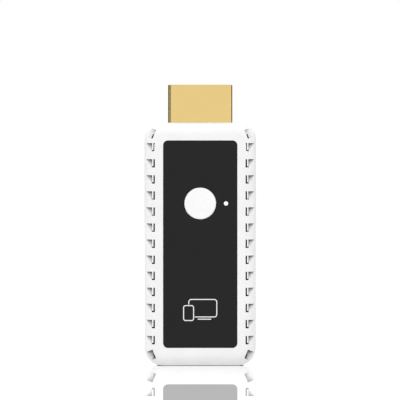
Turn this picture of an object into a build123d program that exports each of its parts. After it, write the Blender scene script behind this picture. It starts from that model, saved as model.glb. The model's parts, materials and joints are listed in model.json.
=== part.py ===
"""Streaming media player: a stick with an HDMI plug at its top end, standing on its power-socket end.

Frame: millimetres, +Z up along the plug, the front face looks along -Y, +X is to the right seen from
the front. The origin is at the middle of the housing's lower end face.
"""

import os
from typing import NamedTuple

from build123d import *


class Package(NamedTuple):
    """A block-shaped component on the board: its middle, width and height seen from the front, and
    how far it stands off the board."""

    x: float
    z: float
    w: float
    h: float
    t: float


# ---------------------------------------------------------------- housing
BODY_W = 24.0
BODY_H = 52.4
BODY_D = 12.0
CORNER_R = 3.9
EDGE_R = 2.6
WALL = 1.6
SEAM = 0.1
LIP_T = 0.6
LIP_H = 0.9
FIT = 0.05
PAST = 1.0

# Side vents: a row of ramped pockets with one more in each corner, each with a slit through the wall
VENT_COUNT = 13
VENT_PITCH = 3.455
VENT_LENGTH = 2.0
VENT_DEPTH = 1.2
VENT_INNER_X = 9.75
VENT_REACH = 5.0
CORNER_VENT_X = 9.88
CORNER_VENT_INSET = 2.6
CORNER_VENT_TURN = 22.0
CORNER_VENT_END = 1.0
SLIT_W = 0.3
SLIT_LENGTH = 1.8
SLIT_DEPTH = 2.6
SLIT_FOOT = 0.65
SLIT_RIB = 0.3

# Face panel, glued into a recess whose floor is a web inside the front shell
PANEL_W = 15.87
PANEL_H = 44.5
PANEL_R = 1.0
PANEL_T = 0.8
PANEL_SUNK = 0.1
TAPE_T = 0.15
TAPE_MARGIN = 0.4
WEB_T = 1.1
WEB_MARGIN = 1.2
LABEL_W = 13.0
LABEL_H = 30.0
LABEL_DEPTH = 0.2
LABEL_R = 0.8

# Snap hooks of the rear shell
HOOK_ZS = (12.0, 40.5)
HOOK_W = 4.0
HOOK_T = 0.7
HOOK_REACH = 2.4
HOOK_GAP = 0.08
HOOK_FOOT = 2.0
BARB = 0.35
BARB_H = 0.6
CATCH_GAP = 0.15
RIB_SPOTS = ((-8.4, 38.0), (8.4, 38.0), (-8.4, 14.0), (8.4, 14.0))
RIB_W = 0.8
RIB_H = 3.0
RIB_GAP = 0.02

# ---------------------------------------------------------------- button, switch and indicator
BUTTON_Z = 34.95
BUTTON_D = 6.85
BUTTON_HOLE_D = 7.05
BUTTON_EDGE_R = 0.3
BUTTON_SKIN = 0.9
BUTTON_FLANGE_D = 8.4
BUTTON_FLANGE_T = 0.6
BUTTON_PIP_D = 2.4
SWITCH_W = 5.2
SWITCH_BASE_T = 1.0
SWITCH_COVER_T = 0.2
SWITCH_LEG_W = 2.0
SWITCH_WELL_D = 3.8
SWITCH_FLOOR = 0.3
PLUNGER_D = 2.3
PLUNGER_HOLE_D = 2.5
PLUNGER_FOOT_D = 3.2
PLUNGER_TOP = 1.5
PLUNGER_BOTTOM = 0.7
DOME_D = 3.4
DOME_RISE = 0.35
DOME_T = 0.08
LEAD_REACH = 0.8
LEAD_W = 0.7
LEAD_T = 0.15
LEAD_DZ = 1.9
TOUCH_GAP = 0.04
LED_X = 5.54
PIPE_D = 0.9
PIPE_HOLE_D = 1.0
PIPE_EDGE_R = 0.12
PIPE_COLLAR_D = 2.0
PIPE_COLLAR_T = 0.6
PIPE_GAP = 0.1

# ---------------------------------------------------------------- HDMI plug
PLUG_W = 13.9
PLUG_T = 4.45
PLUG_R = 0.75
PLUG_SHEET = 0.3
PLUG_CHAMFER_W = 1.5
PLUG_CHAMFER_T = 1.55
PLUG_EXPOSED = 8.23
PLUG_BURIED = 5.3
PLUG_RIM_R = 0.1
PLUG_SEAM_W = 0.06
PLUG_SEAM_DEPTH = 0.12
PLUG_LEG_Y = (-1.3, 0.3)
PLUG_LEG_L = 2.3
LATCH_X = 3.4
LATCH_W = 1.5
LATCH_Z = (3.4, 5.2)
SLOT_W = 11.0
SLOT_T = 1.9
SLOT_FLOOR = 1.5
INSERT_SUNK = 0.4
INSERT_TAIL = 0.6
CONTACT_PITCH = 1.0
CONTACT_W = 0.3
CONTACT_T = 0.2
CONTACT_SUNK = 0.5
CONTACT_BEND = 0.25
GROOVE_W = 0.48
GROOVE_DEPTH = 0.35
TAIL_L = 1.6

# ---------------------------------------------------------------- power socket, micro-B
USB_W = 7.5
USB_T = 2.5
USB_L = 5.2
USB_R = 0.45
USB_SHEET = 0.3
USB_SUNK = 0.3
USB_SIDE_T = 1.3
USB_CHAMFER_W = 1.0
USB_GAP = 0.12
USB_FOOT = Package(4.1, 4.4, 0.9, 1.4, 0.3)
USB_BLOCK_L = 1.4
TONGUE_W = 3.5
TONGUE_T = 0.45
TONGUE_OFF = 1.35
TONGUE_SUNK = 0.5
USB_PINS = 5
USB_PIN_PITCH = 0.65
USB_PIN_W = 0.28
USB_PIN_T = 0.1

# ---------------------------------------------------------------- board, and what is on it
BOARD_W = 20.4
BOARD_T = 1.0
BOARD_R = 1.6
BOARD_NOTCH = 0.8
BOARD_NOTCH_GAP = 0.2
BOARD_Z = (2.2, 46.4)
BOARD_HOLE_D = 1.8
SCREW_SPOTS = ((-7.2, 43.0), (7.2, 5.2))
PIN_SPOTS = ((7.2, 43.0), (-7.2, 5.2))
BOSS_D = 3.4
PIN_D = 1.5
PIN_H = 0.5
SCREW_D = 1.6
SCREW_BITE = 2.6
SCREW_HEAD_D = 2.8
SCREW_HEAD_T = 0.9
SCREW_HEAD_R = 0.3
CROSS_L = 1.6
CROSS_W = 0.36
CROSS_DEPTH = 0.45

PROCESSOR = Package(0, 31.0, 12.0, 12.0, 1.2)
THERMAL_PAD = Package(0, 31.0, 10.5, 10.5, 0.5)
MEMORY = Package(0, 21.4, 11.0, 5.0, 1.1)
RADIO = Package(-2.6, 11.6, 5.0, 5.0, 0.8)
SHIELD = Package(-2.6, 11.6, 10.0, 7.0, 1.3)
SHIELD_SHEET = 0.2
LID_DEPTH = 0.8
LID_FIT = 0.02
SINK = Package(0, 28.7, 15.0, 21.0, 2.0)
SINK_PLATE_T = 0.8
FIN_COUNT = 9
FIN_PITCH = 1.75
FIN_T = 0.7
ANTENNA = Package(5.95, 12.9, 1.9, 9.0, 2.0)
ANTENNA_SHEET = 0.2
ANTENNA_LEG_H = 0.8
ANTENNA_LEG_ZS = (14.8, 17.0)
LED = Package(LED_X, BUTTON_Z, 1.2, 2.0, 0.8)
FLASH = Package(-3.6, 22.0, 4.0, 4.9, 1.4)
FLASH_LEADS = (4, 1.27)
REGULATOR = Package(4.1, 12.0, 2.9, 3.4, 1.0)
REGULATOR_LEADS = (3, 0.95)
LEAD_LENGTH = 0.7
CRYSTAL = Package(4.4, 24.6, 3.2, 2.5, 0.7)
INDUCTORS = [Package(x, 12.2, 3.2, 3.2, 1.4) for x in (-4.2, -0.2)]
CAPACITORS = [Package(x, z, 1.6, 0.8, 0.8) for x in (-6.4, -3.8, -1.2, 1.4) for z in (16.2, 28.4)]
RESISTORS = [Package(x, 18.4, 0.5, 1.0, 0.35) for x in (0.6, 1.6, 2.6, 3.6, 4.6, 5.6, 6.6)]
FILTERS = [Package(x, 41.2, 1.2, 0.9, 0.6) for x in (-3.3, -1.1, 1.1, 3.3)]

# ---------------------------------------------------------------- derived planes and places
FRONT_Y = -BODY_D / 2
BACK_Y = BODY_D / 2
MID_Z = BODY_H / 2
TIP_Z = BODY_H + PLUG_EXPOSED
INNER_X = BODY_W / 2 - WALL
CAVITY_BACK_Y = BACK_Y - WALL
PANEL_FRONT_Y = FRONT_Y + PANEL_SUNK
PANEL_BACK_Y = PANEL_FRONT_Y + PANEL_T
RECESS_Y = PANEL_BACK_Y + TAPE_T
WEB_Y = RECESS_Y + WEB_T
BOARD_FRONT_Y = -BOARD_T / 2
BOARD_BACK_Y = BOARD_T / 2
FLANGE_FRONT_Y = WEB_Y + FIT
FLANGE_BACK_Y = FLANGE_FRONT_Y + BUTTON_FLANGE_T
SWITCH_BASE_Y = BOARD_FRONT_Y - SWITCH_BASE_T
SWITCH_COVER_Y = SWITCH_BASE_Y - SWITCH_COVER_T
SWITCH_WELL_Y = BOARD_FRONT_Y - SWITCH_FLOOR
PLUNGER_TOP_Y = BOARD_FRONT_Y - PLUNGER_TOP
PLUNGER_BOTTOM_Y = BOARD_FRONT_Y - PLUNGER_BOTTOM
PLUG_BOTTOM_Z = BODY_H - PLUG_BURIED
SLOT_FLOOR_Z = BODY_H - SLOT_FLOOR
INSERT_TOP_Z = TIP_Z - INSERT_SUNK
USB_BACK_Z = USB_SUNK + USB_L - USB_SHEET
TONGUE_Y = BOARD_BACK_Y + TONGUE_OFF
PAD_Y = BOARD_BACK_Y + PROCESSOR.t
SINK_Y = PAD_Y + THERMAL_PAD.t


# ---------------------------------------------------------------- helpers
def write(shape, node):
    """Writes one node's STEP file; a list of solids becomes one group."""
    whole = Compound(children=shape) if isinstance(shape, list) else shape
    export_step(whole, f"parts/{node}.step")


def slab(x0, x1, y0, y1, z0, z1):
    """A box between two corners."""
    return Pos((x0 + x1) / 2, (y0 + y1) / 2, (z0 + z1) / 2) * Box(x1 - x0, y1 - y0, z1 - z0)


def centred(w, h, y0, y1, x=0.0, z=0.0):
    """A box given by its front-view width, height and middle, from y0 to y1."""
    return slab(x - w / 2, x + w / 2, y0, y1, z - h / 2, z + h / 2)


def post(diameter, y0, y1, x=0.0, z=0.0):
    """A round bar along Y."""
    return Pos(x, (y0 + y1) / 2, z) * Rot(90, 0, 0) * Cylinder(diameter / 2, y1 - y0)


def rounded_block(w, h, r, y0, y1, z=MID_Z):
    """A block with rounded corners in the front view."""
    plane = Plane(origin=(0, y1, 0), x_dir=(1, 0, 0), z_dir=(0, -1, 0))
    return extrude(plane * Pos(0, z) * RectangleRounded(w, h, r), amount=y1 - y0)


def edges_at_y(shape, y):
    """The edges that lie wholly in the plane at y."""
    boxes = [(edge, edge.bounding_box()) for edge in shape.edges()]
    return [edge for edge, box in boxes if max(abs(box.min.Y - y), abs(box.max.Y - y)) < 1e-4]


def pillow(w, h, r, y0, y1, edge_r):
    """A rounded block whose front and back edges are filleted."""
    block = rounded_block(w, h, r, y0, y1)
    return fillet(edges_at_y(block, y0) + edges_at_y(block, y1), edge_r)


def both_sides(solid):
    """A solid and its mirror image on the other side of the middle plane."""
    return [solid, mirror(solid, about=Plane.YZ)]


def on_front(p, height=None):
    """A component's block on the board's front face."""
    return centred(p.w, p.h, BOARD_FRONT_Y - (height or p.t), BOARD_FRONT_Y, p.x, p.z)


def on_back(p, off=0.0):
    """A component's block on the board's back face, or off it."""
    return centred(p.w, p.h, BOARD_BACK_Y + off, BOARD_BACK_Y + off + p.t, p.x, p.z)


# ---------------------------------------------------------------- side vents
def vent_pocket(x, end_depth):
    """One pocket, cut from the front, deepest at its top. Its own frame has X outward from the
    slit's inner wall, Y into the housing from the front face, and Z up from its middle."""
    top, bottom = VENT_LENGTH / 2, -VENT_LENGTH / 2
    ramp = Polygon((-PAST, top), (VENT_DEPTH, top), (end_depth, bottom), (-PAST, bottom), align=None)
    return extrude(Pos(x, 0, 0) * (Plane.YZ * ramp), amount=VENT_REACH, dir=(1, 0, 0))


def side_vent():
    """A side's pocket with its slit, which has a foot, and the thin rib between the two."""
    top = VENT_LENGTH / 2
    slit = slab(0, SLIT_W, -PAST, SLIT_DEPTH, top - SLIT_LENGTH, top)
    slit += slab(0, SLIT_FOOT, -PAST, SLIT_DEPTH, top - SLIT_LENGTH, top - SLIT_LENGTH + SLIT_W)
    return slit + vent_pocket(SLIT_W + SLIT_RIB, 0)


def corner_vent():
    """A corner's pocket, deep to its lower end, with a short slit in its lower half."""
    bottom = -VENT_LENGTH / 2
    return vent_pocket(0, CORNER_VENT_END) + slab(0, SLIT_W, -PAST, SLIT_DEPTH, bottom, 0)


def vents():
    """All the pockets of the front edge, on both sides."""
    middle = (VENT_COUNT - 1) / 2
    side, corner = side_vent(), corner_vent()
    right = [Pos(VENT_INNER_X, FRONT_Y, MID_Z + (k - middle) * VENT_PITCH) * side for k in range(VENT_COUNT)]
    low, high = CORNER_VENT_INSET, BODY_H - CORNER_VENT_INSET
    right.append(Pos(CORNER_VENT_X, FRONT_Y, low) * Rot(0, CORNER_VENT_TURN, 0) * corner)
    right.append(Pos(CORNER_VENT_X, FRONT_Y, high) * Rot(0, -CORNER_VENT_TURN, 0) * corner)
    return [each for one in right for each in both_sides(one)]


# ---------------------------------------------------------------- outlines of plug and socket
def d_outline(w, y0, y1, side_y, chamfer_w, r, grow):
    """A wide outline whose two corners at y1 are cut off, with small radii, grown by an offset."""
    points = [(-w, y0), (w, y0), (w, side_y), (w - chamfer_w, y1), (chamfer_w - w, y1), (-w, side_y)]
    face = make_face(Polyline(*points, close=True))
    face = fillet(face.vertices(), r)
    return offset(face, amount=grow) if grow else face


def plug_prism(z0, z1, grow=0.0):
    """The plug's outline from z0 to z1, wide side to the front."""
    t = PLUG_T / 2
    face = d_outline(PLUG_W / 2, -t, t, t - PLUG_CHAMFER_T, PLUG_CHAMFER_W, PLUG_R, grow)
    return extrude(Pos(0, 0, z0) * face, amount=z1 - z0)


def usb_prism(z0, z1, grow=0.0):
    """The power socket's outline from z0 to z1, wide side on the board."""
    y0 = BOARD_BACK_Y
    face = d_outline(USB_W / 2, y0, y0 + USB_T, y0 + USB_SIDE_T, USB_CHAMFER_W, USB_R, grow)
    return extrude(Pos(0, 0, z0) * face, amount=z1 - z0)


# ---------------------------------------------------------------- housing
def housing():
    """The closed hollow housing before it is split, with its vents and end openings."""
    outer = pillow(BODY_W, BODY_H, CORNER_R, FRONT_Y, BACK_Y, EDGE_R)
    inner = pillow(2 * INNER_X, BODY_H - 2 * WALL, CORNER_R - WALL,
                   FRONT_Y + WALL, CAVITY_BACK_Y, EDGE_R - WALL)
    front_vents = vents()
    back_vents = [mirror(vent, about=Plane.XZ) for vent in front_vents]
    shell = (outer - inner) - front_vents - back_vents
    shell -= plug_prism(BODY_H - 2 * WALL, BODY_H + PAST, FIT)
    return shell - usb_prism(-PAST, 2 * WALL, USB_GAP)


def lip(grow=0.0):
    """The ring inside the seam that locates the rear shell on the front shell."""
    w, h, r = 2 * INNER_X, BODY_H - 2 * WALL, CORNER_R - WALL
    t = LIP_T + grow
    outside = rounded_block(w + 2 * t, h + 2 * t, r + t, -SEAM, LIP_H + grow)
    return outside - rounded_block(w, h, r, -SEAM - PAST, LIP_H + PAST)


def catch(x_side, z):
    """The notch in the front shell's side wall that a hook's barb sits in."""
    y0 = -HOOK_REACH - CATCH_GAP
    y1 = -HOOK_REACH + BARB_H + CATCH_GAP
    return centred(2 * BARB + CATCH_GAP, HOOK_W + 2 * CATCH_GAP, y0, y1, x_side * INNER_X, z)


def front_shell(whole):
    """Front half: frame round the panel, web behind it, bosses and pins for the board."""
    half = whole & slab(-BODY_W, BODY_W, FRONT_Y - PAST, -SEAM / 2, -PAST, TIP_Z)
    web_w, web_h = PANEL_W + 2 * WEB_MARGIN, PANEL_H + 2 * WEB_MARGIN
    half += rounded_block(web_w, web_h, PANEL_R + WEB_MARGIN, FRONT_Y + WALL / 4, WEB_Y)
    half -= rounded_block(PANEL_W + 2 * FIT, PANEL_H + 2 * FIT, PANEL_R + FIT, FRONT_Y - PAST, RECESS_Y)
    for x, z in SCREW_SPOTS + PIN_SPOTS:
        half += post(BOSS_D, WEB_Y - WEB_T / 2, BOARD_FRONT_Y, x, z)
    for x, z in PIN_SPOTS:
        half += post(PIN_D, BOARD_FRONT_Y - PIN_H, BOARD_BACK_Y + PIN_H, x, z)
    for x, z in SCREW_SPOTS:
        half -= post(SCREW_D, BOARD_FRONT_Y - SCREW_BITE, 0, x, z)
    half += lip() - plug_prism(MID_Z, TIP_Z, FIT) - usb_prism(-PAST, MID_Z, USB_GAP)
    half -= [catch(side, z) for side in (-1, 1) for z in HOOK_ZS]
    half -= post(BUTTON_HOLE_D, FRONT_Y - PAST, 0, 0, BUTTON_Z)
    return half - post(PIPE_HOLE_D, FRONT_Y - PAST, 0, LED_X, BUTTON_Z)


def snap_hook(z):
    """One cantilever hook of the rear shell, standing forward along the right side wall."""
    x1 = INNER_X - HOOK_GAP
    x0 = x1 - HOOK_T
    z0, z1 = z - HOOK_W / 2, z + HOOK_W / 2
    y_foot = CAVITY_BACK_Y - (EDGE_R - WALL) - HOOK_FOOT
    arm = slab(x0, x1, -HOOK_REACH, y_foot + HOOK_FOOT, z0, z1)
    foot = slab(x0, INNER_X + WALL / 4, y_foot, y_foot + HOOK_FOOT, z0, z1)
    y_tip, y_catch = -HOOK_REACH, BARB_H - HOOK_REACH
    barb = Polygon((x0, y_tip), (x1, y_tip), (x1 + BARB, y_catch - BARB_H / 3), (x1 + BARB, y_catch),
                   (x0, y_catch), align=None)
    return arm + foot + extrude(Pos(0, 0, z0) * barb, amount=HOOK_W)


def rear_shell(whole):
    """Back cover: rebate for the lip, snap hooks, four ribs behind the board, a label recess."""
    half = whole & slab(-BODY_W, BODY_W, SEAM / 2, BACK_Y + PAST, -PAST, TIP_Z)
    half -= lip(FIT)
    half += [hook for z in HOOK_ZS for hook in both_sides(snap_hook(z))]
    half += [centred(RIB_W, RIB_H, BOARD_BACK_Y + RIB_GAP, CAVITY_BACK_Y + WALL / 4, x, z)
             for x, z in RIB_SPOTS]
    return half - rounded_block(LABEL_W, LABEL_H, LABEL_R, BACK_Y - LABEL_DEPTH, BACK_Y + PAST)


def face_panel():
    """Face panel with holes for the button and the light pipe."""
    plate = rounded_block(PANEL_W, PANEL_H, PANEL_R, PANEL_FRONT_Y, PANEL_BACK_Y)
    plate -= post(BUTTON_HOLE_D, FRONT_Y, 0, 0, BUTTON_Z)
    return plate - post(PIPE_HOLE_D, FRONT_Y, 0, LED_X, BUTTON_Z)


def panel_tape():
    """Adhesive tape that holds the face panel in its recess."""
    w, h = PANEL_W - 2 * TAPE_MARGIN, PANEL_H - 2 * TAPE_MARGIN
    tape = rounded_block(w, h, PANEL_R - TAPE_MARGIN, PANEL_BACK_Y, RECESS_Y)
    tape -= post(BUTTON_HOLE_D + 2 * TAPE_MARGIN, FRONT_Y, 0, 0, BUTTON_Z)
    return tape - post(PIPE_HOLE_D + 2 * TAPE_MARGIN, FRONT_Y, 0, LED_X, BUTTON_Z)


# ---------------------------------------------------------------- button and switch
def button_cap():
    """Round cap with a retaining flange, cored out behind, and a pip that meets the switch."""
    cap = post(BUTTON_D, FRONT_Y, FLANGE_BACK_Y, 0, BUTTON_Z)
    cap = fillet(edges_at_y(cap, FRONT_Y), BUTTON_EDGE_R)
    cap += post(BUTTON_FLANGE_D, FLANGE_FRONT_Y, FLANGE_BACK_Y, 0, BUTTON_Z)
    core_y = FRONT_Y + BUTTON_SKIN
    cap -= post(BUTTON_D - 2 * BUTTON_SKIN, core_y, FLANGE_BACK_Y + PAST, 0, BUTTON_Z)
    return cap + post(BUTTON_PIP_D, core_y - BUTTON_SKIN / 2, PLUNGER_TOP_Y - TOUCH_GAP, 0, BUTTON_Z)


def switch_base():
    """Moulded base of the push switch, with a round well for the dome."""
    base = centred(SWITCH_W, SWITCH_W, SWITCH_BASE_Y, BOARD_FRONT_Y, 0, BUTTON_Z)
    return base - post(SWITCH_WELL_D, SWITCH_BASE_Y - PAST, SWITCH_WELL_Y, 0, BUTTON_Z)


def switch_cover():
    """Stamped steel cover with two legs clamped down the base's sides."""
    plate = centred(SWITCH_W, SWITCH_W, SWITCH_COVER_Y, SWITCH_BASE_Y, 0, BUTTON_Z)
    plate -= post(PLUNGER_HOLE_D, SWITCH_COVER_Y - PAST, BOARD_FRONT_Y, 0, BUTTON_Z)
    leg = slab(SWITCH_W / 2, SWITCH_W / 2 + SWITCH_COVER_T, SWITCH_COVER_Y, SWITCH_WELL_Y,
               BUTTON_Z - SWITCH_LEG_W / 2, BUTTON_Z + SWITCH_LEG_W / 2)
    return plate + both_sides(leg)


def switch_plunger():
    """Plunger with a foot that keeps it under the cover."""
    stem = post(PLUNGER_D, PLUNGER_TOP_Y, PLUNGER_BOTTOM_Y, 0, BUTTON_Z)
    return stem + post(PLUNGER_FOOT_D, SWITCH_BASE_Y + TOUCH_GAP, PLUNGER_BOTTOM_Y, 0, BUTTON_Z)


def switch_dome():
    """Domed steel spring disc that gives the button its click and its return."""
    rim_r = DOME_D / 2
    ball_r = (rim_r ** 2 + DOME_RISE ** 2) / (2 * DOME_RISE)
    skin = Sphere(ball_r) - Sphere(ball_r - DOME_T)
    skin = Pos(0, SWITCH_WELL_Y - DOME_RISE + ball_r, BUTTON_Z) * skin
    return skin & post(DOME_D, SWITCH_COVER_Y, SWITCH_WELL_Y, 0, BUTTON_Z)


def switch_terminals():
    """Four solder leads of the push switch."""
    x0, x1 = SWITCH_W / 2, SWITCH_W / 2 + LEAD_REACH
    leads = [slab(x0, x1, BOARD_FRONT_Y - LEAD_T, BOARD_FRONT_Y, z - LEAD_W / 2, z + LEAD_W / 2)
             for z in (BUTTON_Z - LEAD_DZ, BUTTON_Z + LEAD_DZ)]
    return [each for lead in leads for each in both_sides(lead)]


def light_pipe():
    """Clear rod that carries the indicator's light to the panel."""
    rod = post(PIPE_D, PANEL_FRONT_Y, BOARD_FRONT_Y - LED.t - PIPE_GAP, LED_X, BUTTON_Z)
    rod = fillet(edges_at_y(rod, PANEL_FRONT_Y), PIPE_EDGE_R)
    return rod + post(PIPE_COLLAR_D, WEB_Y, WEB_Y + PIPE_COLLAR_T, LED_X, BUTTON_Z)


# ---------------------------------------------------------------- HDMI plug
def plug_leg(grow=0.0):
    """One solder leg of the plug shell, or the notch for it in the board."""
    x1 = PLUG_W / 2 + grow
    z0 = PLUG_BOTTOM_Z - PLUG_LEG_L - grow
    return slab(x1 - PLUG_SHEET - 2 * grow, x1, PLUG_LEG_Y[0], PLUG_LEG_Y[1], z0, PLUG_BOTTOM_Z + PLUG_SHEET)


def hdmi_shell():
    """Folded plug shell with a seam and two latch windows on its narrow side, and solder legs."""
    tube = plug_prism(PLUG_BOTTOM_Z, TIP_Z) - plug_prism(PLUG_BOTTOM_Z - PAST, TIP_Z + PAST, -PLUG_SHEET)
    rim = [edge for edge in tube.edges() if edge.bounding_box().min.Z > TIP_Z - 1e-4]
    tube = fillet(rim, PLUG_RIM_R)
    back_y = PLUG_T / 2
    tube -= slab(-PLUG_SEAM_W / 2, PLUG_SEAM_W / 2, back_y - PLUG_SEAM_DEPTH, back_y + PAST,
                 PLUG_BOTTOM_Z - PAST, TIP_Z + PAST)
    window = slab(LATCH_X - LATCH_W / 2, LATCH_X + LATCH_W / 2, back_y - 2 * PLUG_SHEET, back_y + PAST,
                  BODY_H + LATCH_Z[0], BODY_H + LATCH_Z[1])
    return tube - both_sides(window) + both_sides(plug_leg())


def contact_rows():
    """The nineteen contacts as (x, side of the slot): ten in front and nine behind, staggered."""
    front = [((k - 4.5) * CONTACT_PITCH, -1) for k in range(10)]
    return front + [((k - 4) * CONTACT_PITCH, 1) for k in range(9)]


def contact_bar(x, side, w, inner, outer, z0, z1):
    """A bar for one contact between two distances from the plug's middle plane."""
    y0, y1 = sorted((side * inner, side * outer))
    return slab(x - w / 2, x + w / 2, y0, y1, z0, z1)


def hdmi_insert():
    """Moulded insert: the slot that takes the socket's tongue, and grooves for the contacts."""
    half_slot, half_board = SLOT_T / 2, BOARD_T / 2
    low = PLUG_BOTTOM_Z - 2 * INSERT_TAIL
    body = plug_prism(PLUG_BOTTOM_Z - INSERT_TAIL, INSERT_TOP_Z, -PLUG_SHEET - TOUCH_GAP / 2)
    body -= slab(-SLOT_W / 2, SLOT_W / 2, -half_slot, half_slot, SLOT_FLOOR_Z, TIP_Z)
    body -= slab(-SLOT_W / 2, SLOT_W / 2, -half_board, half_board, low, BOARD_Z[1] + INSERT_TAIL)
    for x, side in contact_rows():
        body -= contact_bar(x, side, GROOVE_W, half_slot - FIT, half_slot + GROOVE_DEPTH, SLOT_FLOOR_Z, TIP_Z)
        body -= contact_bar(x, side, CONTACT_W, half_board - FIT, half_board + CONTACT_T, low, SLOT_FLOOR_Z)
    return body


def hdmi_contacts():
    """Nineteen separate spring contacts, each with a tail on the board's face."""
    found = []
    half_slot, half_board = SLOT_T / 2, BOARD_T / 2
    bend_z = SLOT_FLOOR_Z + CONTACT_BEND
    for x, side in contact_rows():
        blade = contact_bar(x, side, CONTACT_W, half_slot, half_slot + CONTACT_T,
                            SLOT_FLOOR_Z, INSERT_TOP_Z - CONTACT_SUNK)
        step = contact_bar(x, side, CONTACT_W, half_board, half_slot + CONTACT_T, SLOT_FLOOR_Z, bend_z)
        tail = contact_bar(x, side, CONTACT_W, half_board, half_board + CONTACT_T,
                           BOARD_Z[1] - TAIL_L, bend_z)
        found.append(blade + step + tail)
    return found


# ---------------------------------------------------------------- power socket
def usb_shell():
    """Folded socket shell with a closed back and two soldered feet."""
    tube = usb_prism(USB_SUNK, USB_SUNK + USB_L) - usb_prism(-PAST, USB_BACK_Z, -USB_SHEET)
    return tube + both_sides(on_back(USB_FOOT))


def usb_pin_xs():
    """The places of the socket's contacts across its tongue."""
    return [(k - (USB_PINS - 1) / 2) * USB_PIN_PITCH for k in range(USB_PINS)]


def usb_insert():
    """Moulded block at the back of the socket, with the thin tongue that carries the contacts."""
    insert = usb_prism(USB_BACK_Z - USB_BLOCK_L, USB_BACK_Z, -USB_SHEET - TOUCH_GAP / 2)
    insert += slab(-TONGUE_W / 2, TONGUE_W / 2, TONGUE_Y, TONGUE_Y + TONGUE_T,
                   USB_SUNK + TONGUE_SUNK, USB_BACK_Z - USB_BLOCK_L / 2)
    return insert - [slab(x - USB_PIN_W / 2, x + USB_PIN_W / 2, TONGUE_Y, TONGUE_Y + USB_PIN_T,
                          USB_SUNK, USB_BACK_Z) for x in usb_pin_xs()]


def usb_contacts():
    """Five separate flat contacts on the socket's tongue."""
    return [slab(x - USB_PIN_W / 2, x + USB_PIN_W / 2, TONGUE_Y, TONGUE_Y + USB_PIN_T,
                 USB_SUNK + 2 * TONGUE_SUNK, USB_BACK_Z) for x in usb_pin_xs()]


# ---------------------------------------------------------------- board and what is on it
def main_board():
    """Main board with holes for screws and pins, and notches for the plug's legs and the snap hooks."""
    height, middle = BOARD_Z[1] - BOARD_Z[0], (BOARD_Z[0] + BOARD_Z[1]) / 2
    board = rounded_block(BOARD_W, height, BOARD_R, BOARD_FRONT_Y, BOARD_BACK_Y, middle)
    board -= [post(BOARD_HOLE_D, -BOARD_T, BOARD_T, x, z) for x, z in SCREW_SPOTS + PIN_SPOTS]
    board -= [centred(2 * BOARD_NOTCH, HOOK_W + 2 * BOARD_NOTCH_GAP, -BOARD_T, BOARD_T, side * BOARD_W / 2, z)
              for side in (-1, 1) for z in HOOK_ZS]
    return board - both_sides(plug_leg(FIT) + Pos(0, BOARD_T / 2, 0) * plug_leg(FIT))


def leaded(p, leads):
    """A package with a row of leads down each side, as separate solids."""
    count, pitch = leads
    body = on_front(p)
    zs = [p.z + (k - (count - 1) / 2) * pitch for k in range(count)]
    xs = [p.x + side * (p.w / 2 + LEAD_LENGTH / 2) for side in (-1, 1)]
    return [body] + [on_front(Package(x, z, LEAD_LENGTH, pitch / 3, LEAD_T)) for x in xs for z in zs]


def heat_sink():
    """Finned aluminium plate over the processor and the memory."""
    y0 = SINK_Y
    sink = centred(SINK.w, SINK.h, y0, y0 + SINK_PLATE_T, SINK.x, SINK.z)
    middle = (FIN_COUNT - 1) / 2
    return sink + [centred(FIN_T, SINK.h, y0, y0 + SINK.t, SINK.x + (k - middle) * FIN_PITCH, SINK.z)
                   for k in range(FIN_COUNT)]


def shield_frame():
    """Soldered fence round the radio chip."""
    inside = SHIELD._replace(w=SHIELD.w - 2 * SHIELD_SHEET, h=SHIELD.h - 2 * SHIELD_SHEET, t=2 * SHIELD.t)
    return on_back(SHIELD) - on_back(inside, -PAST)


def shield_lid():
    """Pressed lid over the fence."""
    gap = 2 * LID_FIT
    inside = SHIELD._replace(w=SHIELD.w + gap, h=SHIELD.h + gap, t=LID_DEPTH)
    outside = inside._replace(w=inside.w + 2 * SHIELD_SHEET, h=inside.h + 2 * SHIELD_SHEET,
                              t=LID_DEPTH + SHIELD_SHEET)
    off = SHIELD.t + LID_FIT - LID_DEPTH
    return on_back(outside, off) - on_back(inside, off)


def wifi_antenna():
    """Stamped inverted-F antenna standing over the board's corner on two legs."""
    blade = on_back(ANTENNA._replace(t=ANTENNA_SHEET), ANTENNA.t - ANTENNA_SHEET)
    edge_x = ANTENNA.x + (ANTENNA.w - ANTENNA_SHEET) / 2
    return blade + [on_back(Package(edge_x, z, ANTENNA_SHEET, ANTENNA_LEG_H, ANTENNA.t))
                    for z in ANTENNA_LEG_ZS]


def board_screws():
    """Two pan-head screws that hold the board on the front shell's bosses."""
    found = []
    y1 = BOARD_BACK_Y + SCREW_HEAD_T
    for x, z in SCREW_SPOTS:
        shank = post(SCREW_D, BOARD_FRONT_Y - SCREW_BITE, BOARD_BACK_Y, x, z)
        head = fillet(edges_at_y(post(SCREW_HEAD_D, BOARD_BACK_Y, y1, x, z), y1), SCREW_HEAD_R)
        arms = [centred(w, h, y1 - CROSS_DEPTH, y1 + PAST, x, z)
                for w, h in ((CROSS_L, CROSS_W), (CROSS_W, CROSS_L))]
        found.append(shank + head - arms)
    return found


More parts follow.
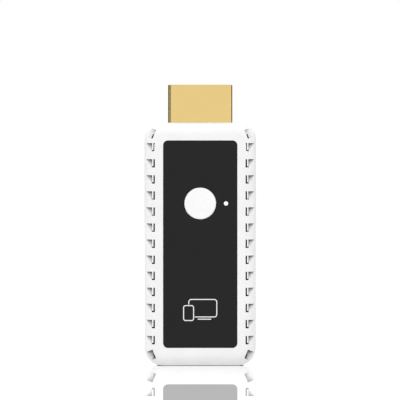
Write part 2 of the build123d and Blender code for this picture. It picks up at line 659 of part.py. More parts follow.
def main():
    """Builds every node and writes its STEP file."""
    os.makedirs("parts", exist_ok=True)
    whole = housing()
    nodes = {
        "front_shell": front_shell(whole),
        "rear_shell": rear_shell(whole),
        "face_panel": face_panel(),
        "panel_tape": panel_tape(),
        "button_cap": button_cap(),
        "switch_base": switch_base(),
        "switch_cover": switch_cover(),
        "switch_plunger": switch_plunger(),
        "switch_dome": switch_dome(),
        "switch_terminals": switch_terminals(),
        "light_pipe": light_pipe(),
        "status_led": on_front(LED),
        "hdmi_shell": hdmi_shell(),
        "hdmi_insert": hdmi_insert(),
        "hdmi_contacts": hdmi_contacts(),
        "usb_shell": usb_shell(),
        "usb_insert": usb_insert(),
        "usb_contacts": usb_contacts(),
        "main_board": main_board(),
        "board_screws": board_screws(),
        "processor": on_back(PROCESSOR),
        "thermal_pad": on_back(THERMAL_PAD, PROCESSOR.t),
        "heat_sink": heat_sink(),
        "memory_chip": on_back(MEMORY),
        "radio_chip": on_back(RADIO),
        "shield_frame": shield_frame(),
        "shield_lid": shield_lid(),
        "wifi_antenna": wifi_antenna(),
        "flash_chip": leaded(FLASH, FLASH_LEADS),
        "power_regulator": leaded(REGULATOR, REGULATOR_LEADS),
        "crystal": on_front(CRYSTAL),
        "power_inductors": [on_front(p) for p in INDUCTORS],
        "capacitors": [on_front(p) for p in CAPACITORS],
        "resistors": [on_front(p) for p in RESISTORS],
        "line_filters": [on_front(p) for p in FILTERS],
    }
    for node, shape in nodes.items():
        write(shape, node)


main()
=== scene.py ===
"""Looks of a streaming media player: a white stick with a gold-plated display plug at its top end.

Everything is in metres in the row frame: the stick stands on z = 0 with +Z along its plug, its face
panel looks along -Y, and +X is to the right seen from the front. Bodies and CAD nodes come from the
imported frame, and the classes below dress them and add what the frame leaves to the eye.
"""

import json
import logging
import math
from dataclasses import dataclass
from enum import Enum
from typing import Any, Iterable, Mapping, Sequence, Union

import bmesh
import bpy
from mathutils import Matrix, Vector


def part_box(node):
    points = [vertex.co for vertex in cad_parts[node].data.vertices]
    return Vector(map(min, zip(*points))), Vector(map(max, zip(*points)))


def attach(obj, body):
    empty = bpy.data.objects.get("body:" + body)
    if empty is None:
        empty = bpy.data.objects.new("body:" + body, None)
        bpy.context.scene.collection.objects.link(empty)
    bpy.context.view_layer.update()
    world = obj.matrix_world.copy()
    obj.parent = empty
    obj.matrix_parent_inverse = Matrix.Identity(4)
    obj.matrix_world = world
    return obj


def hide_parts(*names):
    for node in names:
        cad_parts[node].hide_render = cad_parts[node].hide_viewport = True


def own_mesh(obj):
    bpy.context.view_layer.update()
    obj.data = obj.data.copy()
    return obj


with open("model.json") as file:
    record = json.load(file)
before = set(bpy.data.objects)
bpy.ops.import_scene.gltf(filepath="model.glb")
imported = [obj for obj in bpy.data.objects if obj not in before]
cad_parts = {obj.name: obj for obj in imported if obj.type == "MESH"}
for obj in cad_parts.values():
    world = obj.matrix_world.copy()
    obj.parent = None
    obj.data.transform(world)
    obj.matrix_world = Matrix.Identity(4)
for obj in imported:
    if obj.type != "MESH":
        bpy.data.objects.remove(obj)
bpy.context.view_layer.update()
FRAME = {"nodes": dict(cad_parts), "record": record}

LOG = logging.getLogger("media_player")
MM = 0.001

Colour = tuple[float, float, float, float]
Point = tuple[float, float]
Number = Union["Value", float]


def grey(level: float) -> Colour:
    """A neutral linear colour of one level."""
    return (level, level, level, 1.0)


class Body(Enum):
    """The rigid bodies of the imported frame."""

    HOUSING = "housing"
    BUTTON = "button"
    PLUNGER = "plunger"


class Value:
    """A number that varies over a surface, with arithmetic that adds Math nodes."""

    def __init__(self, graph: "Graph", socket: bpy.types.NodeSocket) -> None:
        """Wraps a socket.

        Args:
            graph: the graph that the socket is in.
            socket: the output that carries the number.
        """
        self.graph = graph
        self.socket = socket

    def _math(self, operation: str, *operands: Number, clamp: bool = False) -> "Value":
        """Adds one Math node.

        Args:
            operation: the node's operation.
            operands: its inputs in order, as numbers or values.
            clamp: whether the result is kept within 0 and 1.

        Returns:
            The node's result.
        """
        inputs = dict(enumerate(operands))
        node = self.graph.add("ShaderNodeMath", {"operation": operation, "use_clamp": clamp}, inputs)
        return Value(self.graph, node.outputs[0])

    def __add__(self, other: Number) -> "Value":
        """Sum."""
        return self._math("ADD", self, other)

    __radd__ = __add__

    def __sub__(self, other: Number) -> "Value":
        """Difference."""
        return self._math("SUBTRACT", self, other)

    def __rsub__(self, other: Number) -> "Value":
        """Difference from a plain number."""
        return self._math("SUBTRACT", other, self)

    def __mul__(self, other: Number) -> "Value":
        """Product."""
        return self._math("MULTIPLY", self, other)

    __rmul__ = __mul__

    def __truediv__(self, other: Number) -> "Value":
        """Quotient."""
        return self._math("DIVIDE", self, other)

    def __rtruediv__(self, other: Number) -> "Value":
        """Quotient of a plain number by this."""
        return self._math("DIVIDE", other, self)

    def __pow__(self, other: Number) -> "Value":
        """Power."""
        return self._math("POWER", self, other)

    def __abs__(self) -> "Value":
        """Size without sign."""
        return self._math("ABSOLUTE", self)

    def clamped(self) -> "Value":
        """This number kept within 0 and 1."""
        return self._math("ADD", self, 0.0, clamp=True)

    def most(self, other: Number) -> "Value":
        """The larger of the two."""
        return self._math("MAXIMUM", self, other)

    def fraction(self) -> "Value":
        """What is left of this number after its whole part."""
        return self._math("FRACT", self)

    def turn(self, ahead: "Value") -> "Value":
        """The angle in degrees, from straight ahead, of a direction that is this far to the side."""
        return self._math("ARCTAN2", self, ahead) * (180 / math.pi)

    def ramp(self, low: float, high: float) -> "Value":
        """A soft step.

        Args:
            low: where the step begins, at 0.
            high: where it ends, at 1; it may be below low, for a falling step.

        Returns:
            A value between 0 and 1.
        """
        share = ((self - low) / (high - low)).clamped()
        return share * share * (3.0 - 2.0 * share)


class Graph:
    """The node tree of one material or world."""

    def __init__(self, owner: Union[bpy.types.Material, bpy.types.World]) -> None:
        """Empties the owner's tree.

        Args:
            owner: the material or world that the tree belongs to.
        """
        owner.use_nodes = True
        self.owner = owner
        self.tree = owner.node_tree
        self.tree.nodes.clear()

    def add(
        self,
        kind: str,
        settings: Mapping[str, Any] | None = None,
        inputs: Mapping[str | int, Any] | None = None,
    ) -> bpy.types.Node:
        """Adds a node.

        Args:
            kind: the node's type.
            settings: its own properties, set first.
            inputs: values or links of its sockets, by name or place.

        Returns:
            The node.
        """
        node = self.tree.nodes.new(kind)
        for name, value in (settings or {}).items():
            setattr(node, name, value)
        for name, value in (inputs or {}).items():
            if isinstance(value, Value):
                value = value.socket
            if isinstance(value, bpy.types.NodeSocket):
                self.tree.links.new(value, node.inputs[name])
            else:
                node.inputs[name].default_value = value
        return node

    def value(self, node: bpy.types.Node, output: str | int = 0) -> Value:
        """A node's output as a value."""
        return Value(self, node.outputs[output])

    def place(self, per_metre: Sequence[float] = (1.0, 1.0, 1.0)) -> bpy.types.NodeSocket:
        """The object's own coordinates.

        Args:
            per_metre: how much each axis is multiplied by.

        Returns:
            The coordinates.
        """
        coordinates = self.add("ShaderNodeTexCoord").outputs["Object"]
        if tuple(per_metre) == (1.0, 1.0, 1.0):
            return coordinates
        scaled = self.add("ShaderNodeVectorMath", {"operation": "MULTIPLY"}, {0: coordinates, 1: per_metre})
        return scaled.outputs[0]

    def axes(self) -> tuple[Value, Value, Value]:
        """The object's own X, Y and Z in metres."""
        parts = self.add("ShaderNodeSeparateXYZ", inputs={0: self.place()})
        return self.value(parts, 0), self.value(parts, 1), self.value(parts, 2)

    def noise(self, size: float, detail: float = 2.0, stretch: Sequence[float] = (1.0, 1.0, 1.0)) -> Value:
        """Smooth noise about 0.5.

        Args:
            size: the size of one blob in metres.
            detail: octaves of finer noise.
            stretch: how much longer the blobs are along each axis.

        Returns:
            The noise.
        """
        per_metre = tuple(1.0 / (size * s) for s in stretch)
        inputs = {"Vector": self.place(per_metre), "Scale": 1.0, "Detail": detail}
        return self.value(self.add("ShaderNodeTexNoise", inputs=inputs), 0)

    def crevice(self, reach: float, samples: int = 8, own: bool = True) -> Value:
        """How shut in the surface is.

        Args:
            reach: how far off a wall still counts, in metres.
            samples: how many directions are tried.
            own: whether only the piece's own walls count.

        Returns:
            0 in the open, towards 1 in a deep crevice.
        """
        settings = {"samples": samples, "only_local": own}
        node = self.add("ShaderNodeAmbientOcclusion", settings, {"Distance": reach})
        return 1.0 - self.value(node, "AO")

    def mix(self, factor: Number, first: Any, second: Any) -> bpy.types.NodeSocket:
        """A colour between two colours.

        Args:
            factor: 0 for the first colour, 1 for the second.
            first: a colour or a link.
            second: a colour or a link.

        Returns:
            The mixed colour.
        """
        node = self.add("ShaderNodeMix", {"data_type": "RGBA"}, {0: factor, 6: first, 7: second})
        return node.outputs[2]

    def relief(self, height: Value, depth: float, edge: float = 0.0) -> bpy.types.NodeSocket:
        """A normal with relief, on edges that are worn round.

        Args:
            height: the relief, from 0 to 1.
            depth: how far 1 stands out, in metres.
            edge: the radius of the worn edges, or 0 for sharp ones.

        Returns:
            The normal.
        """
        inputs: dict[str, Any] = {"Height": height, "Distance": depth, "Strength": 1.0}
        if edge:
            bevel = self.add("ShaderNodeBevel", {"samples": 6}, {"Radius": edge})
            inputs["Normal"] = bevel.outputs[0]
        return self.add("ShaderNodeBump", inputs=inputs).outputs[0]

    def surface(self, **inputs: Any) -> bpy.types.Material:
        """Ends the tree in a Principled shader.

        Args:
            inputs: its sockets, with underscores in place of the spaces of their names.

        Returns:
            The material.
        """
        named = {name.replace("_", " "): value for name, value in inputs.items()}
        shader = self.add("ShaderNodeBsdfPrincipled", inputs=named)
        self.add("ShaderNodeOutputMaterial", inputs={"Surface": shader.outputs[0]})
        return self.owner


# ------------------------------------------------------------------------------------------ finishes
@dataclass(frozen=True)
class Finish:
    """What all finishes share."""

    name: str

    def graph(self) -> Graph:
        """A new material's empty tree."""
        return Graph(bpy.data.materials.new(self.name))

    def material(self) -> bpy.types.Material:
        """Builds the material; each finish has its own."""
        raise NotImplementedError


@dataclass(frozen=True)
class MouldedPlastic(Finish):
    """Moulded plastic with a fine spark-eroded texture, painted shade in its crevices and softened edges."""

    colour: Colour
    roughness: float = 0.42
    grain: float = 0.12 * MM
    depth: float = 0.0015 * MM
    edge: float = 0.07 * MM
    cloud: float = 6 * MM
    mottle: float = 0.03
    painted_shade: float = 0.0
    painted_shade_reach: float = 2.5 * MM
    corner_x: float = 10.0 * MM
    corner_z: Point = (3.6 * MM, 48.8 * MM)
    corner_painted_shade: Point = (0.6, -0.70)

    def painted_shade_amount(self, graph: Graph) -> Value:
        """Where shade is painted into the colour: in the crevices, more at the lower corners and less at the
        upper ones.

        Args:
            graph: the tree that takes its nodes.

        Returns:
            How much painted shade there is, from 0 to 1.
        """
        x, _, z = graph.axes()
        beside = abs(x).ramp(self.corner_x - MM, self.corner_x)
        below = z.ramp(self.corner_z[0] + MM, self.corner_z[0])
        above = z.ramp(self.corner_z[1] - MM, self.corner_z[1])
        change = beside * (below * self.corner_painted_shade[0] + above * self.corner_painted_shade[1])
        return (graph.crevice(self.painted_shade_reach) * (1.0 + change)).clamped()

    def material(self) -> bpy.types.Material:
        """Builds the plastic."""
        graph = self.graph()
        cloud = graph.noise(self.cloud, 3.0)
        grain = graph.noise(self.grain, 2.0)
        dim = tuple(c * (1 - self.mottle) for c in self.colour[:3]) + (1.0,)
        colour = graph.mix(cloud.ramp(0.35, 0.65), self.colour, dim)
        # Painted shade: the colour darkens in crevices found by ambient occlusion, more at the lower corners
        # and less at the upper ones.
        if self.painted_shade:
            painted_shade_colour = tuple(c * (1 - self.painted_shade) for c in self.colour[:3]) + (1.0,)
            colour = graph.mix(self.painted_shade_amount(graph), colour, painted_shade_colour)
        return graph.surface(
            Base_Color=colour,
            Roughness=self.roughness + (cloud - 0.5) * 0.10 + (grain - 0.5) * 0.06,
            Normal=graph.relief(grain, self.depth, self.edge),
        )


@dataclass(frozen=True)
class PanelSheet(Finish):
    """Dark acrylic sheet with a low-glare face and a faint haze of fine rub marks."""

    colour: Colour = (0.0110, 0.0110, 0.0113, 1.0)
    haze: Colour = (0.0140, 0.0140, 0.0143, 1.0)
    roughness: float = 0.38
    sheen: float = 0.14
    cloud: float = 9 * MM
    rub: float = 0.25 * MM
    rub_stretch: Sequence[float] = (1.0, 1.0, 14.0)
    grain: float = 0.05 * MM
    depth: float = 0.0006 * MM
    edge: float = 0.05 * MM

    def material(self) -> bpy.types.Material:
        """Builds the sheet."""
        graph = self.graph()
        cloud = graph.noise(self.cloud, 3.0)
        rub = graph.noise(self.rub, 3.0, self.rub_stretch)
        grain = graph.noise(self.grain, 1.0)
        return graph.surface(
            Base_Color=graph.mix(cloud * 0.7 + rub * 0.3, self.colour, self.haze),
            Roughness=self.roughness + (cloud - 0.5) * 0.12 + (rub - 0.5) * 0.10,
            Specular_IOR_Level=self.sheen,
            Normal=graph.relief(grain, self.depth, self.edge),
        )


@dataclass(frozen=True)
class Metal(Finish):
    """Bare or plated sheet metal with rolling streaks, cloudy wear and handling marks."""

    colour: Colour
    worn: Colour
    roughness: float = 0.3
    streak: float = 0.05 * MM
    stretch: Sequence[float] = (1.0, 1.0, 18.0)
    cloud: float = 3.5 * MM
    mark: float = 0.7 * MM
    depth: float = 0.0003 * MM
    edge: float = 0.04 * MM

    def material(self) -> bpy.types.Material:
        """Builds the metal."""
        graph = self.graph()
        streaks = graph.noise(self.streak, 3.0, self.stretch)
        cloud = graph.noise(self.cloud, 3.0)
        marks = graph.noise(self.mark, 4.0).ramp(0.62, 0.75)
        return graph.surface(
            Base_Color=graph.mix(cloud.ramp(0.3, 0.8) * 0.35 + marks * 0.2, self.colour, self.worn),
            Metallic=1.0,
            Roughness=self.roughness + (streaks - 0.5) * 0.08 + marks * 0.06,
            Normal=graph.relief(streaks, self.depth, self.edge),
        )


@dataclass(frozen=True)
class Diffuser(Finish):
    """The frosted end of a clear rod, lit from behind by its lamp."""

    colour: Colour = (0.93, 0.95, 1.0, 1.0)
    rim: Colour = (0.62, 0.66, 0.72, 1.0)
    centre: Point = (0.0, 0.0)
    radius: float = 0.45 * MM
    glow: float = 0.3
    frost: float = 0.06 * MM
    depth: float = 0.001 * MM

    def material(self) -> bpy.types.Material:
        """Builds the diffuser."""
        graph = self.graph()
        x, _, z = graph.axes()
        across = ((x - self.centre[0]) ** 2.0 + (z - self.centre[1]) ** 2.0) ** 0.5 / self.radius
        frost = graph.noise(self.frost, 2.0)
        lit = (1.0 - across.ramp(0.55, 1.15) * 0.6) * (0.94 + frost * 0.12)
        return graph.surface(
            Base_Color=graph.mix(across.ramp(0.7, 1.0), self.colour, self.rim),
            Roughness=0.35 + frost * 0.15,
            Emission_Color=graph.mix(lit, self.rim, self.colour),
            Emission_Strength=self.glow,
            Normal=graph.relief(frost, self.depth),
        )


@dataclass(frozen=True)
class PrintedInk(Finish):
    """Screen-printed ink with the faint speckle of its mesh."""

    colour: Colour
    thin: Colour
    speckle: float = 0.09 * MM
    depth: float = 0.001 * MM

    def material(self) -> bpy.types.Material:
        """Builds the ink."""
        graph = self.graph()
        speckle = graph.noise(self.speckle, 3.0)
        return graph.surface(
            Base_Color=graph.mix(speckle.ramp(0.35, 0.6), self.thin, self.colour),
            Roughness=0.5 + speckle * 0.15,
            Normal=graph.relief(speckle, self.depth),
        )


@dataclass(frozen=True)
class SolderMask(Finish):
    """Green lacquer over copper, with the tracks showing as raised, lighter lines."""

    lacquer: Colour = (0.010, 0.075, 0.032, 1.0)
    over_copper: Colour = (0.022, 0.155, 0.062, 1.0)
    pitch: float = 0.55 * MM
    wander: float = 2.5 * MM
    bend: float = 5 * MM
    region: float = 4 * MM
    haze: float = 0.4 * MM
    track: float = 0.02 * MM
    edge: float = 0.05 * MM

    def material(self) -> bpy.types.Material:
        """Builds the lacquered board."""
        graph = self.graph()
        x, _, z = graph.axes()
        bend = graph.noise(self.bend, 0.0) * self.wander
        lengthways = ((x + bend) / self.pitch).fraction().ramp(0.45, 0.55)
        crossways = ((z + bend) / self.pitch).fraction().ramp(0.45, 0.55)
        region = graph.noise(self.region, 0.0).ramp(0.49, 0.51)
        track = lengthways * region + crossways * (1.0 - region)
        return graph.surface(
            Base_Color=graph.mix(track, self.lacquer, self.over_copper),
            Roughness=0.28 + graph.noise(self.haze) * 0.15,
            Normal=graph.relief(track, self.track, self.edge),
        )


@dataclass(frozen=True)
class Fired(Finish):
    """Cast epoxy, fired ceramic, silicone or foam: a grainy solid colour with a second tint."""

    colour: Colour
    tint: Colour
    roughness: float = 0.6
    grain: float = 0.08 * MM
    cloud: float = 1.8 * MM
    depth: float = 0.004 * MM
    edge: float = 0.05 * MM

    def material(self) -> bpy.types.Material:
        """Builds the grainy solid."""
        graph = self.graph()
        grain = graph.noise(self.grain, 3.0)
        cloud = graph.noise(self.cloud, 2.0)
        return graph.surface(
            Base_Color=graph.mix(grain * 0.5 + cloud * 0.5, self.colour, self.tint),
            Roughness=self.roughness + (grain - 0.5) * 0.2,
            Normal=graph.relief(grain, self.depth, self.edge),
        )


# ------------------------------------------------------------------------------------------ helpers
def dress(nodes: Iterable[str], finish: Finish) -> None:
    """Gives CAD nodes one finish.

    Args:
        nodes: the nodes' names.
        finish: what they are made of.
    """
    material = finish.material()
    for name in nodes:
        node = FRAME["nodes"][name]
        if not node.material_slots:
            node.data.materials.append(material)
        for slot in node.material_slots:
            slot.material = material
        LOG.info("%s dressed as %s", name, finish.name)


def new_piece(name: str, mesh: bmesh.types.BMesh, finish: Finish, body: Body) -> bpy.types.Object:
    """Makes a piece from a finished mesh.

    Args:
        name: the piece's name.
        mesh: its mesh, which is freed.
        finish: what it is made of.
        body: the body that it rides on.

    Returns:
        The piece.
    """
    data = bpy.data.meshes.new(name)
    bmesh.ops.recalc_face_normals(mesh, faces=mesh.faces)
    mesh.to_mesh(data)
    mesh.free()
    data.materials.append(finish.material())
    piece = bpy.data.objects.new(name, data)
    bpy.context.scene.collection.objects.link(piece)
    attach(piece, body.value)
    LOG.info("%s built on %s", name, body.value)
    return piece


# ------------------------------------------------------------------------------------------ sub-assemblies
@dataclass
class Housing:
    """The two white shells."""

    # The shells' colour carries painted shade in their vents and other crevices.
    finish: MouldedPlastic = MouldedPlastic("white_shell", (0.84, 0.84, 0.838, 1.0), painted_shade=0.85)

    def build(self) -> None:
        """Dresses both shells."""
        dress(("front_shell", "rear_shell"), self.finish)


@dataclass
class FacePanel:
    """The dark panel, its tape and the pictogram printed on it."""

    line: float = 0.2 * MM
    screen: Point = (6.02 * MM, 3.76 * MM)
    screen_centre: Point = (0.55 * MM, 8.5 * MM)
    screen_radius: float = 0.55 * MM
    foot: Point = (2.9 * MM, 0.2 * MM)
    foot_drop: float = 0.48 * MM
    foot_shift: float = 0.35 * MM
    handset: Point = (2.15 * MM, 3.2 * MM)
    handset_centre: Point = (-2.5 * MM, 7.45 * MM)
    handset_radius: float = 0.42 * MM
    ink_height: float = 0.015 * MM
    gap: float = 0.25 * MM
    finish: PanelSheet = PanelSheet("panel_sheet")
    tape: Fired = Fired("foam_tape", grey(0.02), grey(0.035), 0.9)
    ink: PrintedInk = PrintedInk("white_ink", grey(0.90), grey(0.70))

    def build(self) -> None:
        """Dresses the panel and its tape, and prints the pictogram."""
        dress(("face_panel",), self.finish)
        dress(("panel_tape",), self.tape)
        low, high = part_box("face_panel")
        self.origin = Vector(((low.x + high.x) / 2, low.y, low.z))
        self.print_pictogram()

    @staticmethod
    def rounded(centre: Point, size: Point, radius: float, steps: int = 6) -> list[Point]:
        """The outline of a rounded rectangle.

        Args:
            centre: its middle.
            size: its width and height.
            radius: its corner radius.
            steps: segments in each corner.

        Returns:
            Its points, anticlockwise from the right-hand side's upper corner.
        """
        corners = ((1, 1, 0), (-1, 1, 90), (-1, -1, 180), (1, -1, 270))
        points = []
        for sx, sy, start in corners:
            cx = centre[0] + sx * (size[0] / 2 - radius)
            cy = centre[1] + sy * (size[1] / 2 - radius)
            for k in range(steps + 1):
                angle = math.radians(start + 90 * k / steps)
                points.append((cx + radius * math.cos(angle), cy + radius * math.sin(angle)))
        return points

    def outlines(self, centre: Point, size: Point, radius: float) -> tuple[list[Point], list[Point]]:
        """The two sides of a line drawn along a rounded rectangle.

        Args:
            centre: its middle.
            size: its width and height, to the middle of the line.
            radius: its corner radius, to the middle of the line.

        Returns:
            The line's outer and inner points.
        """
        grown = (size[0] + self.line, size[1] + self.line)
        shrunk = (size[0] - self.line, size[1] - self.line)
        half = self.line / 2
        return self.rounded(centre, grown, radius + half), self.rounded(centre, shrunk, radius - half)

    def band(
        self, mesh: bmesh.types.BMesh, outline: Sequence[Point], inner: Sequence[Point], closed: bool
    ) -> None:
        """Adds a flat raised band between two outlines of the same number of points.

        Args:
            mesh: the mesh that takes it.
            outline: the band's outer points.
            inner: its inner points.
            closed: whether the last pair joins the first.
        """
        rows = []
        for out, within in zip(outline, inner):
            section = ((out, 0.0), (out, self.ink_height), (within, self.ink_height), (within, 0.0))
            rows.append([mesh.verts.new(self.origin + Vector((x, -lift, z))) for (x, z), lift in section])
        count = len(rows) if closed else len(rows) - 1
        for k in range(count):
            here, there = rows[k], rows[(k + 1) % len(rows)]
            for j in range(4):
                mesh.faces.new((here[j], there[j], there[(j + 1) % 4], here[(j + 1) % 4]))
        if not closed:
            mesh.faces.new(rows[0])
            mesh.faces.new(reversed(rows[-1]))

    def print_pictogram(self) -> None:
        """Prints a plain screen on a foot with a plain handset beside it."""
        mesh = bmesh.new()
        self.band(mesh, *self.outlines(self.handset_centre, self.handset, self.handset_radius), closed=True)
        screen = self.outlines(self.screen_centre, self.screen, self.screen_radius)
        self.band(mesh, *self.open_screen(*screen), closed=False)
        foot_z = self.screen_centre[1] - self.screen[1] / 2 - self.foot_drop
        foot_x = self.screen_centre[0] + self.foot_shift
        left, right = foot_x - self.foot[0] / 2, foot_x + self.foot[0] / 2
        top, bottom = foot_z + self.foot[1] / 2, foot_z - self.foot[1] / 2
        self.band(mesh, [(left, top), (right, top)], [(left, bottom), (right, bottom)], closed=False)
        new_piece("panel_pictogram", mesh, self.ink, Body.HOUSING)

    def open_screen(self, outer: list[Point], inner: list[Point]) -> tuple[list[Point], list[Point]]:
        """Cuts the screen's outline open where the handset stands in front of it.

        Args:
            outer: the outline's outer points.
            inner: its inner points.

        Returns:
            The open outline's outer and inner points, from below the handset's side to above it.
        """
        edge_x = self.handset_centre[0] + self.handset[0] / 2 + self.gap
        top_z = self.handset_centre[1] + self.handset[1] / 2 + self.gap
        quarter = len(outer) // 4
        order = list(range(3 * quarter, 4 * quarter)) + list(range(2 * quarter))
        outside, inside = (
            [(edge_x, side[3 * quarter][1])] + [side[k] for k in order] + [(side[2 * quarter][0], top_z)]
            for side in (outer, inner)
        )
        return outside, inside


@dataclass
class PushButton:
    """The round button, and the push switch behind it."""

    cap: MouldedPlastic = MouldedPlastic("white_button", (0.885, 0.885, 0.885, 1.0), roughness=0.36)
    black: MouldedPlastic = MouldedPlastic("black_moulding", grey(0.022), roughness=0.5)
    cover: Metal = Metal("switch_steel", grey(0.62), grey(0.5), 0.34)
    leads: Metal = Metal("tinned_leads", grey(0.7), grey(0.55), 0.4)

    def build(self) -> None:
        """Dresses the button and its switch."""
        dress(("button_cap",), self.cap)
        dress(("switch_base", "switch_plunger"), self.black)
        dress(("switch_cover",), self.cover)
        dress(("switch_terminals",), self.leads)


@dataclass
class SpringDome:
    """The sprung dish under the switch's plunger, built in its resting shape."""

    joint: str = "button_press"
    thickness: float = 0.08 * MM
    clearance: float = 0.01 * MM
    rings: int = 10
    spokes: int = 40
    steel: Metal = Metal("spring_steel", grey(0.72), grey(0.6), 0.2)

    def build(self) -> None:
        """Builds the dish in its node's place and hides the node; how far the plunger presses it is worked
        out but not used.
        """
        low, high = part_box("switch_dome")
        self.rim = Vector(((low.x + high.x) / 2, high.y, (low.z + high.z) / 2))
        self.reach = (high.x - low.x) / 2
        self.rise = high.y - low.y
        mesh = bmesh.new()
        ball = (self.reach**2 + self.rise**2) / (2 * self.rise)
        flange = math.sqrt((ball - self.thickness) ** 2 - (ball - self.rise) ** 2)
        outside = self.dish(mesh, ball, self.reach)
        inside = self.dish(mesh, ball - self.thickness, flange)
        for k in range(self.spokes):
            after = (k + 1) % self.spokes
            mesh.faces.new((outside[k], outside[after], inside[after], inside[k]))
        piece = new_piece("switch_dome_leaf", mesh, self.steel, Body.HOUSING)
        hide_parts("switch_dome")
        joints = {row["name"]: row for row in FRAME["record"]["behaviour"]["joints"]}
        travel = joints[self.joint]["range_m"][1]
        pressed = self.rim.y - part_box("switch_plunger")[1].y - travel - self.clearance
        pressed / self.rise
        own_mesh(piece)

    def dish(self, mesh: bmesh.types.BMesh, ball: float, reach: float) -> list[bmesh.types.BMVert]:
        """Adds one face of the dish, part of a sphere whose crown points to the front.

        Args:
            mesh: the mesh that takes it.
            ball: the sphere's radius.
            reach: the radius of the dish's edge.

        Returns:
            The corners of its edge, in order.
        """
        centre_y = self.rim.y + math.sqrt(ball**2 - reach**2)
        crown = mesh.verts.new((self.rim.x, centre_y - ball, self.rim.z))
        ring: list[bmesh.types.BMVert] = []
        for step in range(1, self.rings + 1):
            radius = reach * step / self.rings
            y = centre_y - math.sqrt(ball**2 - radius**2)
            angles = [2 * math.pi * k / self.spokes for k in range(self.spokes)]
            across = [(self.rim.x + radius * math.cos(a), self.rim.z + radius * math.sin(a)) for a in angles]
            wider = [mesh.verts.new((x, y, z)) for x, z in across]
            for k in range(self.spokes):
                after = (k + 1) % self.spokes
                inner = (ring[k], ring[after]) if ring else (crown,)
                mesh.faces.new((*inner, wider[after], wider[k])).smooth = True
            ring = wider
        return ring


@dataclass
class Indicator:
    """The lamp on the board and the clear rod in front of it."""

    lamp: Fired = Fired("lamp_epoxy", (0.9, 0.86, 0.6, 1.0), (0.95, 0.92, 0.75, 1.0), 0.3)

    def build(self) -> None:
        """Dresses the rod, whose frosted end glows, and the lamp."""
        low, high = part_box("light_pipe")
        centre = ((low.x + high.x) / 2, (low.z + high.z) / 2)
        dress(("light_pipe",), Diffuser("frosted_rod", centre=centre))
        dress(("status_led",), self.lamp)


@dataclass
class DisplayPlug:
    """The gold-plated plug with its insert and contacts."""

    shell: Metal = Metal("gold_plate", (0.84, 0.625, 0.25, 1.0), (0.81, 0.58, 0.225, 1.0), 0.18)
    insert: MouldedPlastic = MouldedPlastic("plug_insert", grey(0.02), roughness=0.48)
    contacts: Metal = Metal("contact_gold", (0.88, 0.64, 0.26, 1.0), (0.8, 0.56, 0.2, 1.0), 0.2)

    def build(self) -> None:
        """Dresses the plug."""
        dress(("hdmi_shell",), self.shell)
        dress(("hdmi_insert",), self.insert)
        dress(("hdmi_contacts", "usb_contacts"), self.contacts)


@dataclass
class PowerSocket:
    """The power socket in the lower end."""

    shell: Metal = Metal("socket_steel", grey(0.6), grey(0.48), 0.3)
    insert: MouldedPlastic = MouldedPlastic("socket_insert", grey(0.025), roughness=0.5)

    def build(self) -> None:
        """Dresses the socket."""
        dress(("usb_shell",), self.shell)
        dress(("usb_insert",), self.insert)


@dataclass
class Electronics:
    """The board and everything on it."""

    board: SolderMask = SolderMask("solder_mask")
    epoxy: Fired = Fired("chip_epoxy", grey(0.018), grey(0.032), 0.55)
    ceramic: Fired = Fired("fired_ceramic", (0.42, 0.30, 0.19, 1.0), (0.55, 0.42, 0.28, 1.0), 0.45)
    ferrite: Fired = Fired("ferrite", grey(0.06), grey(0.10), 0.5)
    silicone: Fired = Fired("silicone_pad", (0.36, 0.42, 0.52, 1.0), (0.42, 0.48, 0.58, 1.0), 0.7)
    tin: Metal = Metal("tin_plate", grey(0.68), grey(0.55), 0.36)
    sink: Metal = Metal("bare_aluminium", grey(0.72), grey(0.6), 0.4)
    steel: Metal = Metal("zinc_steel", grey(0.62), grey(0.5), 0.32)

    def build(self) -> None:
        """Dresses the board and its components."""
        dress(("main_board",), self.board)
        dress(("processor", "memory_chip", "radio_chip", "flash_chip"), self.epoxy)
        dress(("power_regulator", "resistors"), self.epoxy)
        dress(("capacitors",), self.ceramic)
        dress(("power_inductors", "line_filters"), self.ferrite)
        dress(("thermal_pad",), self.silicone)
        dress(("shield_frame", "shield_lid", "wifi_antenna", "crystal"), self.tin)
        dress(("heat_sink",), self.sink)
        dress(("board_screws",), self.steel)


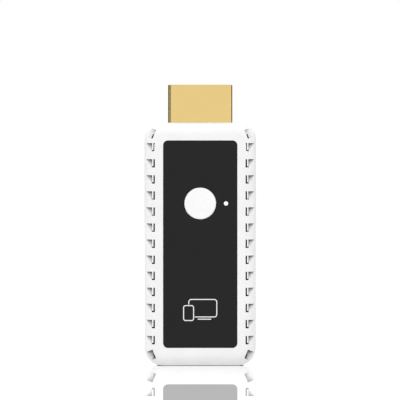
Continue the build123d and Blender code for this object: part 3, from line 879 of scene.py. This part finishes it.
# ------------------------------------------------------------------------------------------ studio
@dataclass
class Studio:
    """Floor, light and camera."""

    camera_place: tuple[float, float, float] = (-0.00005, -0.600, 0.0357)
    lens: float = 248.8
    sensor: float = 36.0
    floor_half: float = 3.0
    polish: float = 0.64
    floor_glow: float = 1.30
    contact_shadow_half: Point = (8.9 * MM, 4.7 * MM)
    contact_shadow_fade: Point = (0.9 * MM, 1.3 * MM)
    ambient: float = 1.10
    from_front: float = 0.24
    from_left: float = 0.16
    from_above: float = 0.24
    sheen: float = 0.95
    sheen_to_right: float = 0.05
    sheen_above: float = 0.3
    above: Point = (0.4, 0.8)
    card_level: float = 0.06
    card_edge: Point = (0.12, 0.22)
    card_depth: float = 0.94
    side_card: tuple[Point, Point] = ((80.0, 90.0), (168.0, 177.0))
    left_card: tuple[Point, Point] = ((20.0, 28.0), (66.0, 80.0))
    left_card_share: float = 0.85
    lamp_place: tuple[float, float, float] = (0.03, -0.22, 0.55)
    lamp_aim: tuple[float, float, float] = (0.0, 0.0, 0.03)
    lamp_size: float = 0.35
    lamp_energy: float = 0.05

    def build(self) -> None:
        """Builds all three."""
        self.build_camera()
        self.build_world()
        self.build_floor()
        self.build_lights()
        bpy.context.scene.view_settings.view_transform = "Standard"

    def build_camera(self) -> None:
        """A level camera looking along +Y."""
        data = bpy.data.cameras.new("camera")
        data.lens = self.lens
        data.sensor_width = self.sensor
        data.clip_start = 0.01
        camera = bpy.data.objects.new("camera", data)
        camera.location = self.camera_place
        camera.rotation_euler = (math.radians(90), 0.0, 0.0)
        bpy.context.scene.collection.objects.link(camera)
        bpy.context.scene.camera = camera

    def build_world(self) -> None:
        """White surroundings with dark cards at the sides that only glossy surfaces see."""
        world = bpy.data.worlds.new("studio")
        world.cycles.sampling_method = "NONE"
        bpy.context.scene.world = world
        graph = Graph(world)
        direction = graph.add("ShaderNodeTexCoord").outputs["Generated"]
        parts = graph.add("ShaderNodeSeparateXYZ", inputs={0: direction})
        x, y, z = (graph.value(parts, k) for k in range(3))
        rays = graph.add("ShaderNodeLightPath")
        seen = graph.value(rays, "Is Camera Ray").most(graph.value(rays, "Is Singular Ray"))
        glossy = graph.value(rays, "Is Glossy Ray")
        soft = self.ambient - y * self.from_front - x * self.from_left + z * self.from_above
        level_with_horizon = 1.0 - abs(z - self.card_level).ramp(*self.card_edge)
        turn = x.turn(ahead=0.0 - y)
        side_cards = abs(turn).ramp(*self.side_card[0]) * (1.0 - abs(turn).ramp(*self.side_card[1]))
        to_left = 0.0 - turn
        left_card = to_left.ramp(*self.left_card[0]) * (1.0 - to_left.ramp(*self.left_card[1]))
        cards = side_cards.most(left_card * self.left_card_share) * level_with_horizon
        sheen = self.sheen - cards * self.card_depth + x * self.sheen_to_right
        sheen = sheen - z.ramp(*self.above) * self.sheen_above
        lit = soft * (1.0 - glossy) + sheen * glossy
        level = lit * (1.0 - seen) + seen
        colour = graph.add("ShaderNodeCombineXYZ", inputs={0: level, 1: level, 2: level})
        background = graph.add("ShaderNodeBackground", inputs={"Color": colour.outputs[0], "Strength": 1.0})
        graph.add("ShaderNodeOutputWorld", inputs={"Surface": background.outputs[0]})

    def build_floor(self) -> None:
        """A white polished floor that mirrors the object, with a painted contact shadow under it that only
        the camera sees.
        """
        mesh = bmesh.new()
        bmesh.ops.create_grid(mesh, x_segments=12, y_segments=12, size=self.floor_half)
        data = bpy.data.meshes.new("studio_floor")
        mesh.to_mesh(data)
        mesh.free()
        graph = Graph(bpy.data.materials.new("white_floor"))
        x, y, _ = graph.axes()
        # Painted contact shadow: the floor's glow and mirror fade out under the object's footprint, for
        # camera rays only.
        under_x = (abs(x) - self.contact_shadow_half[0]).ramp(self.contact_shadow_fade[0], 0.0)
        under_y = (abs(y) - self.contact_shadow_half[1]).ramp(self.contact_shadow_fade[1], 0.0)
        direct = graph.value(graph.add("ShaderNodeLightPath"), "Is Camera Ray")
        lit = 1.0 - under_x * under_y * direct
        glow = {"Color": grey(1.0), "Strength": lit * self.floor_glow}
        white = graph.add("ShaderNodeEmission", inputs=glow)
        gloss = graph.add("ShaderNodeBsdfAnisotropic", inputs={"Color": grey(1.0), "Roughness": 0.0})
        shaders = {0: lit * self.polish, 1: white.outputs[0], 2: gloss.outputs[0]}
        mixed = graph.add("ShaderNodeMixShader", inputs=shaders)
        graph.add("ShaderNodeOutputMaterial", inputs={"Surface": mixed.outputs[0]})
        data.materials.append(graph.owner)
        floor = bpy.data.objects.new("studio_floor", data)
        bpy.context.scene.collection.objects.link(floor)

    def build_lights(self) -> None:
        """A soft overhead light, slightly to the front."""
        data = bpy.data.lights.new("overhead", "AREA")
        data.shape = "DISK"
        data.size = self.lamp_size
        data.energy = self.lamp_energy
        light = bpy.data.objects.new("overhead", data)
        light.location = self.lamp_place
        light.rotation_euler = (Vector(self.lamp_aim) - light.location).to_track_quat("-Z", "Y").to_euler()
        bpy.context.scene.collection.objects.link(light)


def main() -> None:
    """Builds the studio, then each sub-assembly."""
    logging.basicConfig(level=logging.INFO, format="%(name)s: %(message)s")
    Studio().build()
    front = (Housing(), FacePanel(), PushButton(), SpringDome(), Indicator())
    ends_and_inside = (DisplayPlug(), PowerSocket(), Electronics())
    for sub_assembly in front + ends_and_inside:
        sub_assembly.build()


if __name__ == "__main__":
    main()
